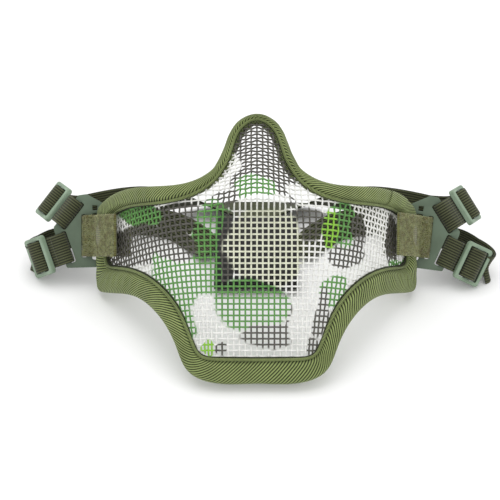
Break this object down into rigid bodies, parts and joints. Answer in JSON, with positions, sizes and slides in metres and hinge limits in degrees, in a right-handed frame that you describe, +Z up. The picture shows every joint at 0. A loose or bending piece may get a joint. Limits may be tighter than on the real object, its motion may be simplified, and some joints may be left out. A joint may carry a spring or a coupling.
{
  "type": "lower-face mesh mask",
  "caption": "Lower-face mask of woven wire mesh in a camouflage paint, with a padded edge binding, two side plates and adjustable elastic straps.",
  "frame": {"origin": "middle of the whole object's footprint, on the surface it stands on", "axes": "+X to the wearer's left, across the face (the viewer's right); the front of the mask faces -Y; +Z up. It stands on its chin edge and the lower rear corners of its ears"},
  "size_m": [0.2282, 0.1452, 0.0944],
  "materials": {
    "camo_wire": "satin",
    "binding_tape": "matte",
    "foam": "matte",
    "loop_cloth": "matte",
    "plate_plastic": "satin",
    "slider_plastic": "satin",
    "elastic": "matte",
    "keeper_cloth": "matte"
  },
  "bodies": {
    "mask": {"mesh_shell": "camo_wire", "edge_binding": "binding_tape", "edge_foam": "foam", "binding_lap": "binding_tape", "tab_left": "loop_cloth", "tab_right": "loop_cloth", "rear_strap_upper": "elastic", "rear_strap_lower_left": "elastic", "rear_strap_lower_right": "elastic", "strap_keeper": "keeper_cloth", "strap_slack": "elastic"},
    "plate_left": {"plate_left": "plate_plastic"},
    "plate_right": {"plate_right": "plate_plastic"},
    "strap_upper_left": {"strap_loop_upper_left": "elastic"},
    "adjuster_upper_left": {"slider_upper_left": "slider_plastic", "sewn_end_upper_left": "elastic", "strap_bend_upper_left": "elastic"},
    "strap_lower_left": {"strap_loop_lower_left": "elastic"},
    "adjuster_lower_left": {"slider_lower_left": "slider_plastic", "sewn_end_lower_left": "elastic", "strap_bend_lower_left": "elastic"},
    "strap_upper_right": {"strap_loop_upper_right": "elastic"},
    "adjuster_upper_right": {"slider_upper_right": "slider_plastic", "sewn_end_upper_right": "elastic", "strap_bend_upper_right": "elastic"},
    "strap_lower_right": {"strap_loop_lower_right": "elastic"},
    "adjuster_lower_right": {"slider_lower_right": "slider_plastic", "sewn_end_lower_right": "elastic", "strap_bend_lower_right": "elastic"}
  },
  "joints": [
    {"name": "plate_left_swing", "type": "hinge", "parent": "mask", "child": "plate_left", "pos_m": [-0.08154, 0.01609, 0.02181], "axis": [0, 0.6074, 0.7944], "range_deg": [-7, 16]},
    {"name": "plate_right_swing", "type": "hinge", "parent": "mask", "child": "plate_right", "pos_m": [0.08048, 0.01573, 0.02134], "axis": [-0.1041, -0.5968, -0.7956], "range_deg": [-12, 16]},
    {"name": "strap_upper_left_pivot", "type": "hinge", "parent": "plate_left", "child": "strap_upper_left", "pos_m": [-0.09171, 0.02218, 0.03124], "axis": [0.6057, 0.5243, 0.5985], "range_deg": [-14, 24]},
    {"name": "slider_upper_left_travel", "type": "slide", "parent": "strap_upper_left", "child": "adjuster_upper_left", "axis": [-0.4931, 0.8377, -0.2349], "range_m": [-0.0008, 0.007]},
    {"name": "strap_lower_left_pivot", "type": "hinge", "parent": "plate_left", "child": "strap_lower_left", "pos_m": [-0.09413, 0.01141, 0.01751], "axis": [-0.3245, 0.5517, 0.7683], "range_deg": [-8, 24]},
    {"name": "slider_lower_left_travel", "type": "slide", "parent": "strap_lower_left", "child": "adjuster_lower_left", "axis": [-0.6722, 0.437, -0.5976], "range_m": [-0.0008, 0.007]},
    {"name": "strap_upper_right_pivot", "type": "hinge", "parent": "plate_right", "child": "strap_upper_right", "pos_m": [0.09176, 0.02105, 0.02994], "axis": [0.5197, -0.5543, -0.6501], "range_deg": [-14, 20]},
    {"name": "slider_upper_right_travel", "type": "slide", "parent": "strap_upper_right", "child": "adjuster_upper_right", "axis": [0.4509, 0.8243, -0.3424], "range_m": [-0.0008, 0.007]},
    {"name": "strap_lower_right_pivot", "type": "hinge", "parent": "plate_right", "child": "strap_lower_right", "pos_m": [0.09236, 0.01032, 0.01598], "axis": [-0.4211, -0.5212, -0.7423], "range_deg": [-4, 20]},
    {"name": "slider_lower_right_travel", "type": "slide", "parent": "strap_lower_right", "child": "adjuster_lower_right", "axis": [0.8602, 0.03, -0.5091], "range_m": [-0.0008, 0.007]}
  ]
}
